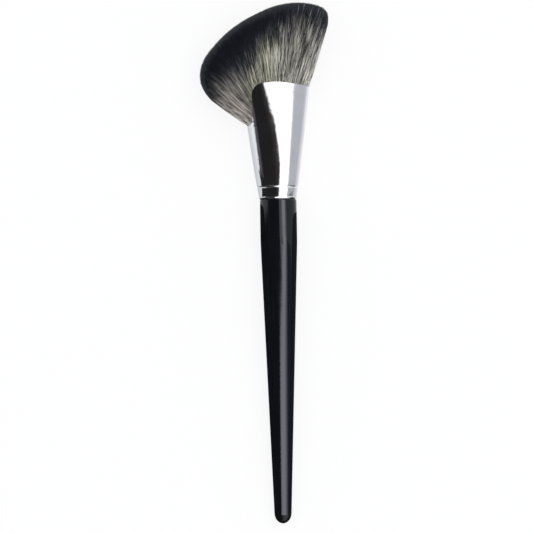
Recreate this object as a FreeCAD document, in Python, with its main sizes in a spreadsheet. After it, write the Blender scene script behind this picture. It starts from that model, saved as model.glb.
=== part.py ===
import FreeCAD, Part
import math
import os

import Sketcher
from FreeCAD import Placement, Rotation, Vector

# Angled contour brush: turned handle, pressed and die-cut ferrule, epoxy plug and fanned tuft.
# Brush frame while modelling: Y runs from the tail to the hair, X points to the short side of
# the fan, Z is the depth, and the origin is where the handle meets the ferrule.
# The finished brush lies on the floor: on the blend below its straight land and on the belly of
# the tuft, with the origin on the floor under its middle.

# Alias, value in mm or degrees, what it is
DIMENSIONS = (
    ("handle_radius", 6.5, "radius of the straight land of the handle and of the ferrule foot"),
    ("handle_length", 114.8, "from the ferrule to the tip of the tail"),
    ("land_length", 13.8, "straight land below the ferrule"),
    ("taper_blend_radius", 70, "blend from the land into the taper"),
    ("shoulder_radius", 0.5, "rounded shoulder under the ferrule"),
    ("tail_radius", 3.03, "where the taper meets the dome of the tail"),
    ("dome_length", 3.7, "domed end of the tail"),
    ("tenon_length", 7.5, "tenon inside the ferrule"),
    ("tenon_chamfer", 0.6, "lead-in at the end of the tenon"),
    ("sheet_wall", 0.4, "sheet metal of the ferrule"),
    ("press_fit", 0.05, "room between the ferrule and the tenon or the plug"),
    ("rim_height", 0.9, "rolled rim at the foot of the ferrule"),
    ("rim_proud", 0.08, "how far the rim stands out"),
    ("rim_tuck", 0.12, "how far the rim turns in at its edges"),
    ("crimp_station", 4.25, "height of the crimp that locks the tenon"),
    ("crimp_radius", 0.47, "edge radius of the crimping wheel"),
    ("crimp_depth", 0.22, "how deep the crimp is rolled in"),
    ("mouth_trim", 0.7, "metal above the lip that the die takes off"),
    ("mouth_flare", 5.8, "half width gained at the mouth"),
    ("flare_power", 0.87, "below 1 the ferrule widens faster at its foot"),
    ("mouth_flatten", 1.8, "half depth lost at the mouth"),
    ("flatten_power", 2, "above 1 the ferrule stays deep at its foot"),
    ("mouth_shift", 0.3, "how far the mouth sits towards the long side of the fan"),
    ("shift_power", 0.5, "below 1 the shift comes early"),
    ("lip_height", 41.45, "highest point of the die-cut lip"),
    ("lip_arc_radius", 50, "bow of the lip"),
    ("lip_apex_offset", 1, "from the axis to the highest point of the lip"),
    ("lip_corner_radius", 4.3, "rounded corner between the lip and the side notch"),
    ("notch_inset", 3.83, "side notch, in from the edge of the mouth"),
    ("notch_depth", 15.25, "side notch, down from the highest point of the lip"),
    ("notch_fillet", 1.8, "rounding at the foot of the side notch"),
    ("hair_seat", 21.8, "root of the hair below the highest point of the lip"),
    ("hair_fit", 0.15, "room between the hair and the ferrule"),
    ("lip_clearance", 0.15, "how far the hair runs straight past the lip before it fans out"),
    ("lip_spread", 0.45, "how far the sides of the fan spread over the metal past the lip"),
    ("belly_half_depth", 8.9, "half thickness of the tuft where it is fullest"),
    ("lock_depth", 0.3, "relief of the locks on the faces of the tuft"),
    ("lock_tip", 0.2, "how far a lock stands out at the edge of the fan"),
    ("edge_lean", 53.1, "leftmost strand, from the axis"),
    ("edge_length", 14.3, "leftmost strand, visible length"),
    ("heel_lean", 55, "strand to the heel of the fan"),
    ("heel_length", 20, "strand to the heel of the fan"),
    ("nose_lean", 47.9, "strand to the nose of the fan"),
    ("nose_length", 24.1, "strand to the nose of the fan"),
    ("cheek_lean", 34.9, "strand above the nose"),
    ("cheek_length", 23.7, "strand above the nose"),
    ("slope_lean", 15.1, "strand to the long slope"),
    ("slope_length", 23, "strand to the long slope"),
    ("crest_lean", 1.6, "strand to the crest"),
    ("crest_length", 27.1, "strand to the crest"),
    ("peak_lean", -14.1, "strand to the peak"),
    ("peak_length", 29.4, "strand to the peak"),
    ("corner_lean", -19.9, "strand to the rounded corner"),
    ("corner_length", 27.1, "strand to the rounded corner"),
    ("side_lean", -17.5, "rightmost strand"),
    ("side_length", 22.5, "rightmost strand"),
)

# Strands that set the outline of the fan, and the share of the lip at which each leaves it
OUTLINE_STRANDS = {
    "edge": 0.0,
    "heel": 0.06,
    "nose": 0.15,
    "cheek": 0.28,
    "slope": 0.45,
    "crest": 0.65,
    "peak": 0.82,
    "corner": 0.93,
    "side": 1.0,
}

FERRULE_SECTIONS = 7
LOCKS = 16
COLUMNS_PER_LOCK = 4
SIDE_CROWDING = 0.6  # columns crowd together towards the thin sides of the tuft
LIP_SAMPLES = 600
STEM_SHARES = (0.0, 0.4, 0.8, 0.97, 1.0)  # rows between the root and the lip
TIP_TURNS = (3, 9, 18, 29, 41, 53, 65, 76, 84, 90)  # rows outside the lip, degrees of a quarter turn
SPREAD_SHARE = 0.2  # share of the visible length over which the sides spread over the metal
SWELL_START = 0.04  # share of the visible length after which the tuft begins to swell
SWELL_POWER = 1.4  # above 1 the hair leaves the lip in line with the metal
BELLY_SHARE = 0.55  # share of the visible length at which the tuft is fullest
SIDE_FULLNESS = 0.8  # below 1 the sides of the tuft are fuller than an ellipse
CUT_REACH = 25.0  # the die and the trimming boxes reach well past the metal
MEASURE_MESH = 0.02  # fineness of the mesh that finds where the brush touches the floor
CRIMP_BITE = 0.02  # the crimp starts this far outside the surface that it sinks
SAME_PLACE = 1e-6
LIP_EDGES = slice(1, 5)  # fillet, notch, corner and bow in the outline of the die

ACROSS_AXIS = Rotation(Vector(1, 0, 0), 90)  # stands a flat section across the axis of the brush
ALONG_AXIS = Rotation(Vector(1, 0, 0), -90)  # lays a cylinder along the axis, towards the hair

doc = FreeCAD.newDocument("ContourBrush")


def make_sheet():
    sheet = doc.addObject("Spreadsheet::Sheet", "Dims")
    for row, (alias, value, note) in enumerate(DIMENSIONS, start=1):
        sheet.set(f"A{row}", alias)
        sheet.set(f"B{row}", str(value))
        sheet.setAlias(f"B{row}", alias)
        sheet.set(f"C{row}", note)
    doc.recompute()
    return sheet


sheet = make_sheet()


def size(alias):
    return float(getattr(sheet, alias))


def add(kind, name, properties=None, **expressions):
    """Adds an object; a double underscore in an expression's name stands for a dot."""
    item = doc.addObject(kind, name)
    for key, value in (properties or {}).items():
        setattr(item, key, value)
    for key, expression in expressions.items():
        item.setExpression(key.replace("__", "."), expression)
    return item


def cut(name, base, tool):
    return add("Part::Cut", name, {"Base": base, "Tool": tool})


def tie(sketch, name, kind, references, value, expression):
    """Adds a named constraint to a sketch and ties its value to the sheet."""
    index = sketch.addConstraint(Sketcher.Constraint(kind, *references, value))
    sketch.renameConstraint(index, name)
    sketch.setExpression("Constraints." + name, expression)


def constrain(sketch, *constraints):
    for kind, *references in constraints:
        sketch.addConstraint(Sketcher.Constraint(kind, *references))


def sketch_in(body, name):
    """A sketch on the XY plane of the body, which holds the axis of the brush."""
    sketch = body.newObject("Sketcher::SketchObject", name)
    plane = next(f for f in body.Origin.OriginFeatures if f.Role == "XY_Plane")
    sketch.AttachmentSupport = [(plane, "")]
    sketch.MapMode = "FlatFace"
    return sketch


START, END, CENTRE = range(1, 4)  # points of an edge in a sketch
ORIGIN = (-1, START)
X_AXIS = -1
Y_AXIS = -2


def ferrule_rules(height, inset):
    """Expressions for the oval section of the ferrule at a height, smaller by an inset."""
    share = f"(({height}) / (Dims.lip_height + Dims.mouth_trim))"
    return {
        "MajorRadius": "Dims.handle_radius + "
                       f"Dims.mouth_flare * pow({share}; Dims.flare_power) - ({inset})",
        "MinorRadius": "Dims.handle_radius - "
                       f"Dims.mouth_flatten * pow({share}; Dims.flatten_power) - ({inset})",
        "Placement__Base__x": f"-Dims.mouth_shift * pow({share}; Dims.shift_power)",
        "Placement__Base__y": height,
    }


def ferrule_section(height, inset):
    """The same oval as numbers: centre, half width and half depth."""
    share = height / (size("lip_height") + size("mouth_trim"))
    centre = -size("mouth_shift") * share ** size("shift_power")
    width = size("handle_radius") + size("mouth_flare") * share ** size("flare_power") - inset
    depth = size("handle_radius") - size("mouth_flatten") * share ** size("flatten_power") - inset
    return centre, width, depth


def draw_handle(sketch):
    """Half of the handle's lengthwise section, closed along the axis."""
    land = size("handle_radius")
    tenon_end = size("tenon_length")
    tenon = ferrule_section(tenon_end, size("sheet_wall") + size("press_fit"))[2]
    chamfer = size("tenon_chamfer")
    shoulder = size("shoulder_radius")
    blend = size("taper_blend_radius")
    tip = Vector(0, -size("handle_length"))
    dome_start = tip + Vector(size("tail_radius"), size("dome_length"))
    dome_centre = tip + Vector(0, size("dome_length"))
    blend_centre = Vector(land - blend, -size("land_length"))
    reach = dome_start - blend_centre
    lean = math.atan2(reach.y, reach.x) + math.acos(blend / reach.Length)
    taper_start = blend_centre + Vector(math.cos(lean), math.sin(lean)) * blend
    up = Vector(0, 0, 1)

    tenon_axis = Vector(0, tenon_end)
    tenon_face = Vector(tenon - chamfer, tenon_end)
    tenon_lead = Vector(tenon, tenon_end - chamfer)
    tenon_root = Vector(tenon, 0)
    seat_edge = Vector(land - shoulder, 0)
    land_top = Vector(land, -shoulder)
    land_foot = Vector(land, -size("land_length"))
    edges = {
        "axis": Part.LineSegment(tip, tenon_axis),
        "face": Part.LineSegment(tenon_axis, tenon_face),
        "lead": Part.LineSegment(tenon_face, tenon_lead),
        "tenon": Part.LineSegment(tenon_lead, tenon_root),
        "seat": Part.LineSegment(tenon_root, seat_edge),
        "round": Part.ArcOfCircle(
            Part.Circle(seat_edge - Vector(0, shoulder), up, shoulder), 0, math.pi / 2
        ),
        "land": Part.LineSegment(land_top, land_foot),
        "blend": Part.ArcOfCircle(Part.Circle(blend_centre, up, blend), lean, 0),
        "taper": Part.LineSegment(taper_start, dome_start),
        "dome": Part.ArcOfEllipse(Part.Ellipse(tip, dome_start, dome_centre), 0, math.pi / 2),
    }
    sketch.addGeometry(list(edges.values()), False)
    g = {name: index for index, name in enumerate(edges)}
    sketch.exposeInternalGeometry(g["dome"])
    dome_major_axis = len(edges)

    constrain(
        sketch,
        ("Coincident", g["axis"], END, g["face"], START),
        ("Coincident", g["face"], END, g["lead"], START),
        ("Coincident", g["lead"], END, g["tenon"], START),
        ("Coincident", g["tenon"], END, g["seat"], START),
        ("Tangent", g["seat"], END, g["round"], END),
        ("Tangent", g["round"], START, g["land"], START),
        ("Tangent", g["land"], END, g["blend"], END),
        ("Tangent", g["blend"], START, g["taper"], START),
        ("Coincident", g["taper"], END, g["dome"], END),
        ("Coincident", g["dome"], START, g["axis"], START),
        ("PointOnObject", g["axis"], START, Y_AXIS),
        ("PointOnObject", g["axis"], END, Y_AXIS),
        ("PointOnObject", g["seat"], START, X_AXIS),
        ("PointOnObject", g["dome"], CENTRE, Y_AXIS),
        ("Horizontal", g["face"]),
        ("Horizontal", g["seat"]),
        ("Vertical", g["tenon"]),
        ("Vertical", g["land"]),
        ("Vertical", dome_major_axis),
        ("Horizontal", g["dome"], CENTRE, g["dome"], END),
    )
    fit = "Dims.sheet_wall + Dims.press_fit"
    tenon_rule = ferrule_rules("Dims.tenon_length", fit)["MinorRadius"]
    dome_rule = "Dims.dome_length - Dims.handle_length"
    for name, kind, references, value, rule in (
        ("LandRadius", "DistanceX", (*ORIGIN, g["land"], START), land, "Dims.handle_radius"),
        ("LandEnd", "DistanceY", (*ORIGIN, g["land"], END), land_foot.y, "-Dims.land_length"),
        ("TenonRadius", "DistanceX", (*ORIGIN, g["tenon"], START), tenon, tenon_rule),
        ("TenonEnd", "DistanceY", (*ORIGIN, g["axis"], END), tenon_end, "Dims.tenon_length"),
        ("LeadWidth", "DistanceX", (g["lead"], START, g["lead"], END), chamfer,
         "Dims.tenon_chamfer"),
        ("LeadLength", "DistanceY", (g["lead"], END, g["lead"], START), chamfer,
         "Dims.tenon_chamfer"),
        ("Tail", "DistanceY", (*ORIGIN, g["axis"], START), tip.y, "-Dims.handle_length"),
        ("TailRadius", "DistanceX", (*ORIGIN, g["taper"], END), dome_start.x, "Dims.tail_radius"),
        ("DomeStart", "DistanceY", (*ORIGIN, g["taper"], END), dome_start.y, dome_rule),
        ("Shoulder", "Radius", (g["round"],), shoulder, "Dims.shoulder_radius"),
        ("Blend", "Radius", (g["blend"],), blend, "Dims.taper_blend_radius"),
    ):
        tie(sketch, name, kind, references, value, rule)


def draw_crimp_seat(sketch):
    """Circle that cuts the groove in the tenon for the ferrule's inner bead."""
    station = size("crimp_station")
    offset = ferrule_section(station, size("crimp_depth") - size("crimp_radius"))[2]
    radius = size("crimp_radius") + size("sheet_wall") + size("press_fit")
    sketch.addGeometry(Part.Circle(Vector(offset, station), Vector(0, 0, 1), radius), False)
    rules = ferrule_rules("Dims.crimp_station", "Dims.crimp_depth - Dims.crimp_radius")
    tie(sketch, "SeatRadius", "Radius", (0,), radius,
        "Dims.crimp_radius + Dims.sheet_wall + Dims.press_fit")
    tie(sketch, "SeatOffset", "DistanceX", (*ORIGIN, 0, CENTRE), offset, rules["MinorRadius"])
    tie(sketch, "SeatHeight", "DistanceY", (*ORIGIN, 0, CENTRE), station, "Dims.crimp_station")


def make_handle():
    """Turned in one piece: domed tail, long taper, straight land, shoulder and grooved tenon."""
    body = doc.addObject("PartDesign::Body", "Handle")
    body.Label = "handle"
    profile = sketch_in(body, "HandleProfile")
    draw_handle(profile)
    turned = body.newObject("PartDesign::Revolution", "HandleTurned")
    turned.Profile = profile
    turned.ReferenceAxis = (profile, ["V_Axis"])
    turned.Angle = 360
    doc.recompute()
    seat = sketch_in(body, "CrimpSeat")
    draw_crimp_seat(seat)
    groove = body.newObject("PartDesign::Groove", "TenonGroove")
    groove.Profile = seat
    groove.ReferenceAxis = (seat, ["V_Axis"])
    groove.Angle = 360
    doc.recompute()
    if groove.Shape.Volume >= turned.Shape.Volume:
        raise RuntimeError("the tenon groove cuts nothing")
    return body


def add_oval(name, height, inset):
    standing = {"Placement": Placement(Vector(), ACROSS_AXIS)}
    return add("Part::Ellipse", name, standing, **ferrule_rules(height, inset))


def loft_ovals(name, ovals):
    """Smooth solid through ovals given as pairs of height and inset."""
    sections = [
        add_oval(f"{name}Oval{index}", height, inset)
        for index, (height, inset) in enumerate(ovals)
    ]
    return add("Part::Loft", name, {"Sections": sections, "Solid": True, "Ruled": False})


def make_tube_loft(name, start, inset):
    """The ferrule's form from a height up to the blank's top, smaller all round by the inset."""
    spans = FERRULE_SECTIONS - 1
    top = "(Dims.lip_height + Dims.mouth_trim)"
    return loft_ovals(name, [
        (f"({start}) * {spans - index} / {spans} + {top} * {index} / {spans}", inset)
        for index in range(FERRULE_SECTIONS)
    ])


def make_crimp_ring(name, radius, inset):
    """Ring that is left outside a rolled-in waist, whose ends lie at the inset, less a bite."""
    width = f"2 * sqrt(2 * ({radius}) * Dims.crimp_depth - pow(Dims.crimp_depth; 2))"
    waist = loft_ovals(name + "Waist", [
        (f"Dims.crimp_station - 0.5 * {width}", f"{inset} - {CRIMP_BITE}"),
        ("Dims.crimp_station", f"{inset} + Dims.crimp_depth"),
        (f"Dims.crimp_station + 0.5 * {width}", f"{inset} - {CRIMP_BITE}"),
    ])
    slab = add(
        "Part::Cylinder",
        name + "Slab",
        {"Placement": Placement(Vector(), ALONG_AXIS), "Radius": CUT_REACH},
        Placement__Base__y=f"Dims.crimp_station - 0.5 * {width}",
        Height=width,
    )
    return cut(name, slab, waist)


def draw_die(sketch):
    """Region that the die takes off: all above the bowed lip, and the notch on the long side."""
    corner = size("lip_corner_radius")
    fillet = size("notch_fillet")
    bow = size("lip_arc_radius")
    floor = size("lip_height") - size("notch_depth")
    mouth_edge = size("handle_radius") + size("mouth_flare") + size("mouth_shift")
    notch = size("notch_inset") - mouth_edge
    bow_centre = Vector(-size("lip_apex_offset"), size("lip_height") - bow)
    corner_x = notch + corner
    corner_rise = math.sqrt((bow - corner) ** 2 - (corner_x - bow_centre.x) ** 2)
    corner_centre = Vector(corner_x, bow_centre.y + corner_rise)
    fillet_centre = Vector(notch - fillet, floor + fillet)
    joint = corner_centre - bow_centre
    joint_angle = math.atan2(joint.y, joint.x)
    right_angle = math.acos((CUT_REACH - bow_centre.x) / bow)
    right_end = bow_centre + Vector(math.cos(right_angle), math.sin(right_angle)) * bow
    up = Vector(0, 0, 1)

    left_foot = Vector(-CUT_REACH, floor)
    left_top = Vector(-CUT_REACH, size("lip_height") + CUT_REACH)
    right_top = Vector(CUT_REACH, size("lip_height") + CUT_REACH)
    edges = {
        "floor": Part.LineSegment(left_foot, Vector(fillet_centre.x, floor)),
        "fillet": Part.ArcOfCircle(Part.Circle(fillet_centre, up, fillet), -math.pi / 2, 0),
        "notch": Part.LineSegment(Vector(notch, floor + fillet), Vector(notch, corner_centre.y)),
        "corner": Part.ArcOfCircle(Part.Circle(corner_centre, up, corner), joint_angle, math.pi),
        "bow": Part.ArcOfCircle(Part.Circle(bow_centre, up, bow), right_angle, joint_angle),
        "right": Part.LineSegment(right_end, right_top),
        "top": Part.LineSegment(right_top, left_top),
        "left": Part.LineSegment(left_top, left_foot),
    }
    sketch.addGeometry(list(edges.values()), False)
    g = {name: index for index, name in enumerate(edges)}
    constrain(
        sketch,
        ("Tangent", g["floor"], END, g["fillet"], START),
        ("Tangent", g["fillet"], END, g["notch"], START),
        ("Tangent", g["notch"], END, g["corner"], END),
        ("Tangent", g["corner"], START, g["bow"], END),
        ("Coincident", g["bow"], START, g["right"], START),
        ("Coincident", g["right"], END, g["top"], START),
        ("Coincident", g["top"], END, g["left"], START),
        ("Coincident", g["left"], END, g["floor"], START),
        ("Horizontal", g["floor"]),
        ("Vertical", g["notch"]),
        ("Vertical", g["right"]),
        ("Horizontal", g["top"]),
        ("Vertical", g["left"]),
    )
    notch_rule = "Dims.notch_inset - Dims.handle_radius - Dims.mouth_flare - Dims.mouth_shift"
    for name, kind, references, value, rule in (
        ("Floor", "DistanceY", (*ORIGIN, g["floor"], START), floor,
         "Dims.lip_height - Dims.notch_depth"),
        ("Notch", "DistanceX", (*ORIGIN, g["notch"], START), notch, notch_rule),
        ("BowOffset", "DistanceX", (*ORIGIN, g["bow"], CENTRE), bow_centre.x,
         "-Dims.lip_apex_offset"),
        ("BowHeight", "DistanceY", (*ORIGIN, g["bow"], CENTRE), bow_centre.y,
         "Dims.lip_height - Dims.lip_arc_radius"),
        ("Bow", "Radius", (g["bow"],), bow, "Dims.lip_arc_radius"),
        ("Corner", "Radius", (g["corner"],), corner, "Dims.lip_corner_radius"),
        ("Fillet", "Radius", (g["fillet"],), fillet, "Dims.notch_fillet"),
        ("Left", "DistanceX", (*ORIGIN, g["left"], START), left_top.x, str(-CUT_REACH)),
        ("Right", "DistanceX", (*ORIGIN, g["right"], END), right_top.x, str(CUT_REACH)),
        ("Top", "DistanceY", (*ORIGIN, g["top"], START), right_top.y,
         f"Dims.lip_height + {CUT_REACH}"),
    ):
        tie(sketch, name, kind, references, value, rule)


def make_ferrule(die):
    """Pressed tube that goes from round to a flat oval, crimped, rimmed and die-cut."""
    outside = make_tube_loft("OuterTube", "Dims.rim_height / 2", "0")
    cavity = make_tube_loft("Cavity", "0", "Dims.sheet_wall")
    rim = loft_ovals("Rim", [
        ("0", "Dims.rim_tuck"),
        ("Dims.rim_height / 3", "-Dims.rim_proud"),
        ("Dims.rim_height * 2 / 3", "-Dims.rim_proud"),
        ("Dims.rim_height", "Dims.rim_tuck"),
    ])
    blank = add("Part::Fuse", "FerruleBlank", {"Base": outside, "Tool": rim})
    bead = make_crimp_ring("InnerBead", "Dims.crimp_radius + Dims.sheet_wall", "Dims.sheet_wall")
    hollow = cut("Hollow", cavity, bead)
    crimp = make_crimp_ring("Crimp", "Dims.crimp_radius", "0")
    tube = cut("Tube", cut("CrimpedBlank", blank, crimp), hollow)
    ferrule = cut("Ferrule", tube, die)
    ferrule.Label = "ferrule"
    return ferrule


def make_die():
    sketch = doc.addObject("Sketcher::SketchObject", "DieOutline")
    draw_die(sketch)
    doc.recompute()
    die = add("Part::Extrusion", "Die", {"Base": sketch, "DirMode": "Normal", "Solid": True,
                                         "Symmetric": True, "LengthFwd": 2 * CUT_REACH})
    return sketch, die


def make_glue_plug():
    """Set epoxy that fills the ferrule between the tenon and the root of the hair."""
    filling = make_tube_loft("PlugTube", "0", "Dims.sheet_wall + Dims.press_fit")
    start = "Dims.tenon_length + Dims.press_fit"
    slab = add(
        "Part::Box",
        "PlugSlab",
        {"Placement": Placement(Vector(-CUT_REACH, 0, -CUT_REACH), Rotation()),
         "Length": 2 * CUT_REACH, "Height": 2 * CUT_REACH},
        Placement__Base__y=start,
        Width=f"Dims.lip_height - Dims.hair_seat - Dims.press_fit - ({start})",
    )
    plug = add("Part::Common", "GluePlug", {"Base": filling, "Tool": slab})
    plug.Label = "glue_plug"
    return plug


def at_share(points, share):
    """Point at a share of the way along evenly spaced points."""
    place = share * (len(points) - 1)
    index = min(int(place), len(points) - 2)
    return points[index] + (points[index + 1] - points[index]) * (place - index)


def hair_room():
    return size("sheet_wall") + size("hair_fit")


def stem_point(height, across):
    """Point on the upper face of the hair inside the ferrule; across runs from -1 to 1."""
    centre, width, depth = ferrule_section(height, hair_room())
    return Vector(centre + width * across, height, depth * math.sqrt(1 - across ** 2))


def lip_line(die_outline):
    """Height and place across of the hair along the lip, from the foot of the notch onwards."""
    lip_edges = [edge.toShape() for edge in die_outline.Geometry[LIP_EDGES]]
    points = Part.Wire(Part.__sortEdges__(lip_edges)).discretize(Number=LIP_SAMPLES)
    if points[0].x > points[-1].x:
        points.reverse()
    inside = []
    for point in points:
        centre, width, _ = ferrule_section(point.y, hair_room())
        across = (point.x - centre) / width
        inside.append(Vector(max(-1, min(1, across)), point.y))
        if across > 1:
            break
    return inside


def strand_law():
    """Curve that gives share of the lip, lean and visible length of every strand."""
    law = Part.BSplineCurve()
    shares = list(OUTLINE_STRANDS.values())
    law.interpolate(
        Points=[
            Vector(share, size(name + "_lean"), size(name + "_length"))
            for name, share in OUTLINE_STRANDS.items()
        ],
        Parameters=shares,
    )
    return law


def strand_points(turn, share, lip, law):
    """One column of the upper face of the tuft, from the root past the lip to the tip."""
    fullness = 2 * math.sqrt(share * (1 - share))
    lock = math.cos(2 * math.pi * LOCKS * turn)
    leave = at_share(lip, share)
    _, lean, length = law.value(share)
    length += size("lock_tip") * (lock - 1) / 2
    along = Vector(-math.sin(math.radians(lean)), math.cos(math.radians(lean)))

    root = Vector(2 * share - 1, size("lip_height") - size("hair_seat"))
    points = []
    for rise in STEM_SHARES:
        across, height, _ = root + (leave - root) * rise
        points.append(stem_point(height, across))
    start = Vector(points[-1].x, points[-1].y + size("lip_clearance"))
    lip_depth = points[-1].z
    full_depth = size("belly_half_depth") * fullness ** SIDE_FULLNESS
    for turned in TIP_TURNS:
        out = math.sin(math.radians(turned))
        spread = leave.x * size("lip_spread") * (1 - (1 - min(1, out / SPREAD_SHARE)) ** 2)
        growth = (out - SWELL_START) / (BELLY_SHARE - SWELL_START)
        swell = math.sin(math.pi / 2 * max(0, min(1, growth))) ** SWELL_POWER
        close = max(0, out - BELLY_SHARE) / (1 - BELLY_SHARE)
        rounding = math.sqrt(max(0, 1 - close ** 2))
        relief = size("lock_depth") * lock * fullness * swell
        depth = lip_depth + (full_depth - lip_depth) * swell + relief
        points.append(start + along * (length * out) + Vector(spread, 0, depth * rounding))
    return points


def smooth_surface(grid):
    """Cubic surface drawn by a grid of poles, which it follows closely and never overshoots."""
    degree = 3

    def knots(poles):
        spans = poles - degree
        return [degree + 1] + [1] * (spans - 1) + [degree + 1], list(range(spans + 1))

    across_mults, across_knots = knots(len(grid))
    along_mults, along_knots = knots(len(grid[0]))
    surface = Part.BSplineSurface()
    surface.buildFromPolesMultsKnots(
        grid, across_mults, along_mults, across_knots, along_knots, False, False, degree, degree
    )
    return surface


def make_tuft(die_outline):
    """Fan of hair: two fluted faces, mirror images, that meet all along its outline."""
    lip = lip_line(die_outline)
    law = strand_law()
    columns = LOCKS * COLUMNS_PER_LOCK + 1
    grid = []
    for column in range(columns):
        turn = column / (columns - 1)
        share = turn - SIDE_CROWDING * math.sin(2 * math.pi * turn) / (2 * math.pi)
        grid.append(strand_points(turn, share, lip, law))
    front = smooth_surface(grid).toShape()
    back = front.mirror(Vector(), Vector(0, 0, 1))
    root_height = size("lip_height") - size("hair_seat")
    root_edges = [
        edge
        for face in (front, back)
        for edge in face.Edges
        if all(abs(vertex.Y - root_height) < SAME_PLACE for vertex in edge.Vertexes)
    ]
    root = Part.Face(Part.Wire(Part.__sortEdges__(root_edges)))
    shell = Part.Shell([front, back, root])
    shell.sewShape()
    tuft = doc.addObject("Part::Feature", "BristleTuft")
    tuft.Label = "bristle_tuft"
    tuft.Shape = Part.Solid(shell)
    return tuft


def lay_down(parts, tuft):
    """Leans the brush until the blend of the handle and the tuft both touch the floor."""
    blend = size("taper_blend_radius")
    blend_centre = Vector(0, -size("land_length"), blend - size("handle_radius"))
    reaches = [
        Vector(0, blend_centre.y - point.y, blend_centre.z - point.z)
        for point in tuft.Shape.tessellate(MEASURE_MESH)[0]
    ]
    lean = max(
        math.atan2(reach.y, reach.z) + math.acos(blend / reach.Length)
        for reach in reaches
        if reach.Length > blend
    )
    turn = Rotation(Vector(1, 0, 0), math.degrees(lean))
    points = [
        turn.multVec(point)
        for part in parts
        for point in part.Shape.tessellate(MEASURE_MESH)[0]
    ]
    xs, ys, zs = zip(*points)
    shift = -Vector((min(xs) + max(xs)) / 2, (min(ys) + max(ys)) / 2, min(zs))
    for part in parts:
        part.Placement = Placement(shift, turn)
    doc.recompute()
    print(f"lean {math.degrees(lean):.3f} degrees, joint of handle and ferrule at {shift}")


def check(parts):
    for item in doc.Objects:
        if "Invalid" in item.State or "Error" in item.State:
            raise RuntimeError(f"{item.Name}: {item.State}")
    for part in parts:
        if part.Shape.isNull() or not part.Shape.isValid() or len(part.Shape.Solids) != 1:
            raise RuntimeError(f"{part.Label}: no single valid solid")


def main():
    handle = make_handle()
    die_outline, die = make_die()
    ferrule = make_ferrule(die)
    plug = make_glue_plug()
    doc.recompute()
    tuft = make_tuft(die_outline)
    parts = [handle, ferrule, plug, tuft]
    check(parts)
    lay_down(parts, tuft)
    check(parts)
    os.makedirs("parts", exist_ok=True)
    for part in parts:
        part.Shape.exportStep(f"parts/{part.Label}.step")


main()
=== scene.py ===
import math

import bpy
import numpy as np
from mathutils import Matrix, Vector


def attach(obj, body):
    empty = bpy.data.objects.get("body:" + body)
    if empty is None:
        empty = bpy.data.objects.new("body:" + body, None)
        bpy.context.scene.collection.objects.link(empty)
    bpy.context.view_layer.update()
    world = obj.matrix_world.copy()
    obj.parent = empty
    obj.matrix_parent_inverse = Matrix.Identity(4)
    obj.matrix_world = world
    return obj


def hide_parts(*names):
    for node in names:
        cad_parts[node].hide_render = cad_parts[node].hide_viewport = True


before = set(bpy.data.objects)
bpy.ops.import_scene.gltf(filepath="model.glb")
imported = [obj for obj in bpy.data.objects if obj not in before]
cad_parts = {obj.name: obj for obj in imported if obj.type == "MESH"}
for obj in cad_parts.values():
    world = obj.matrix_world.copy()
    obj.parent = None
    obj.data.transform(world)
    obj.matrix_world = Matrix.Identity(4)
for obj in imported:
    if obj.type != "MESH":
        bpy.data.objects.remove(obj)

# Angled contour brush: lacquered handle, polished ferrule and a fan of two-tone hair.
# Lengths of the brush are in mm in the brush frame: Y from the tail to the hair, X to the short
# side of the fan, Z out of its upper face, and the origin where the handle meets the ferrule.
# Lengths of the studio are in mm in the row's frame, where the brush slopes down to its tail.

MM = 0.001
LEAN = math.radians(1.924)
JOINT = Vector((4.1352, 22.3083, 6.9991))
BRUSH_TO_ROW = (
    Matrix.Scale(MM, 4) @ Matrix.Translation(JOINT) @ Matrix.Rotation(LEAN, 4, "X")
)
SEED = 11

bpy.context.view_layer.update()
rng = np.random.default_rng(SEED)
scene = bpy.context.scene

# Form of the ferrule and its lip, which the hair follows

FOOT_RADIUS = 6.5
BLANK_LENGTH = 42.15
MOUTH_FLARE, FLARE_POWER = 5.8, 0.87
MOUTH_FLATTEN, FLATTEN_POWER = 1.8, 2.0
MOUTH_SHIFT, SHIFT_POWER = 0.3, 0.5
LIP_HEIGHT = 41.45
LIP_BOW, LIP_APEX = 50.0, -1.0
LIP_CORNER, NOTCH_X, NOTCH_FLOOR, NOTCH_FILLET = 4.3, -8.77, 26.2, 1.8
BOW_END = 70
FILLET_STEPS, EDGE_STEPS, CORNER_STEPS, BOW_STEPS = 40, 60, 60, 120
LIP_STEPS = 400
SAME_POINT = 1e-6
HAIR_ROOM = 0.55
HAIR_SEAT = 19.65
LIP_CLEARANCE = 0.15
LIP_SPREAD, SPREAD_SHARE = 0.45, 0.2


def ferrule_section(height, inset):
    """Centre, half width and half depth of the ferrule's oval at a height."""
    share = height / BLANK_LENGTH
    centre = -MOUTH_SHIFT * share ** SHIFT_POWER
    width = FOOT_RADIUS + MOUTH_FLARE * share ** FLARE_POWER - inset
    depth = FOOT_RADIUS - MOUTH_FLATTEN * share ** FLATTEN_POWER - inset
    return centre, width, depth


def arc(centre_x, centre_y, radius, start, end, count):
    """Points on an arc between two angles in degrees."""
    angles = np.radians(np.linspace(start, end, count))
    return np.stack([centre_x + radius * np.cos(angles), centre_y + radius * np.sin(angles)], 1)


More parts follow.
